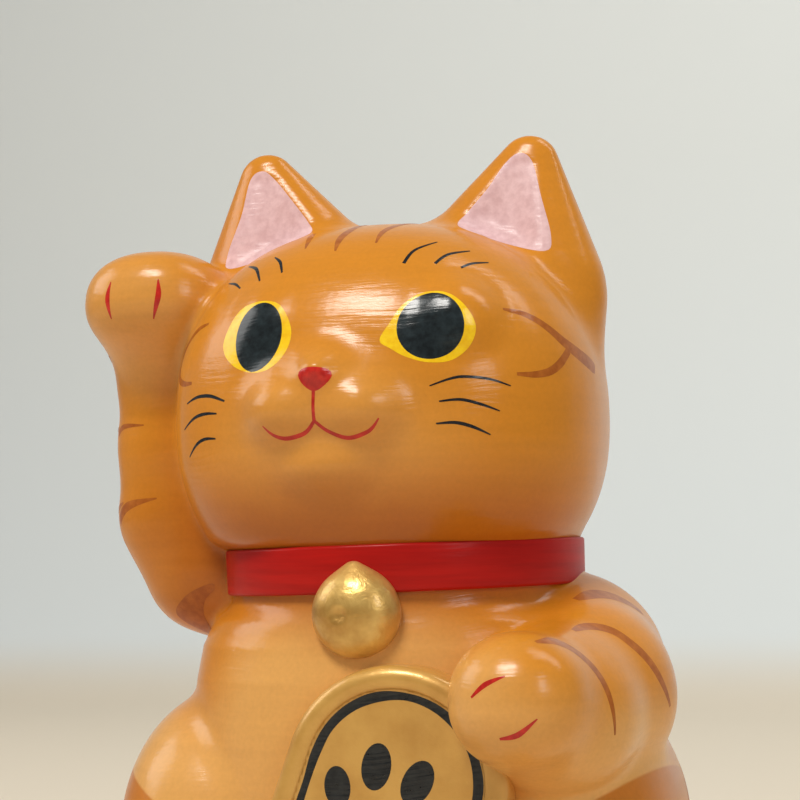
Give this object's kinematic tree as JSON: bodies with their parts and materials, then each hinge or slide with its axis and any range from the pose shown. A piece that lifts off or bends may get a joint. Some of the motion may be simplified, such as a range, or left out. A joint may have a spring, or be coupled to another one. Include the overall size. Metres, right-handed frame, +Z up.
{
  "type": "ceramic cat figurine",
  "caption": "Seated beckoning cat figurine in glazed earthenware: raised right paw, collar with bell, oval coin held in front, round foot closed by a soft stopper.",
  "frame": {"origin": "centre of the round foot, on the plane it stands on", "axes": "+Z up from the table through the ears; the cat faces -Y and its raised right paw is on -X"},
  "size_m": [0.16, 0.1441, 0.2343],
  "materials": {
    "ginger_glaze": "ginger orange underglaze with a glossy clear coat, darker at the back of the head",
    "peach_glaze": "pale apricot underglaze with a glossy clear coat",
    "red_enamel": "brushed red enamel, semi-gloss",
    "gold_lustre": "brushed gold lustre with fine wrinkles",
    "black_brushwork": "black overglaze enamel, painted with a brush, glossy",
    "yellow_iris": "opaque yellow overglaze enamel, glossy",
    "red_brushwork": "red overglaze enamel on nose, mouth and toes",
    "pink_inner_ear": "pale pink enamel, satin",
    "russet_stripes": "russet underglaze stripes brushed under the clear coat",
    "bare_bisque": "unglazed fired clay, matt",
    "soft_rubber": "translucent off-white soft rubber, satin"
  },
  "bodies": {
    "cat": {"torso_casting": "peach_glaze", "head_casting": "ginger_glaze", "right_ear": "ginger_glaze", "left_ear": "ginger_glaze", "raised_arm": "ginger_glaze", "lowered_arm": "ginger_glaze", "right_hind_leg": "ginger_glaze", "left_hind_leg": "ginger_glaze", "tail": "ginger_glaze", "collar": "red_enamel", "bell": "gold_lustre", "koban_coin": "gold_lustre", "foot_disc": "bare_bisque"},
    "stopper": {"base_stopper": "soft_rubber"}
  },
  "joints": [
    {"name": "stopper_pull", "type": "slide", "parent": "cat", "child": "stopper", "axis": [0, 0, -1], "range_m": [0, 0.02]}
  ]
}
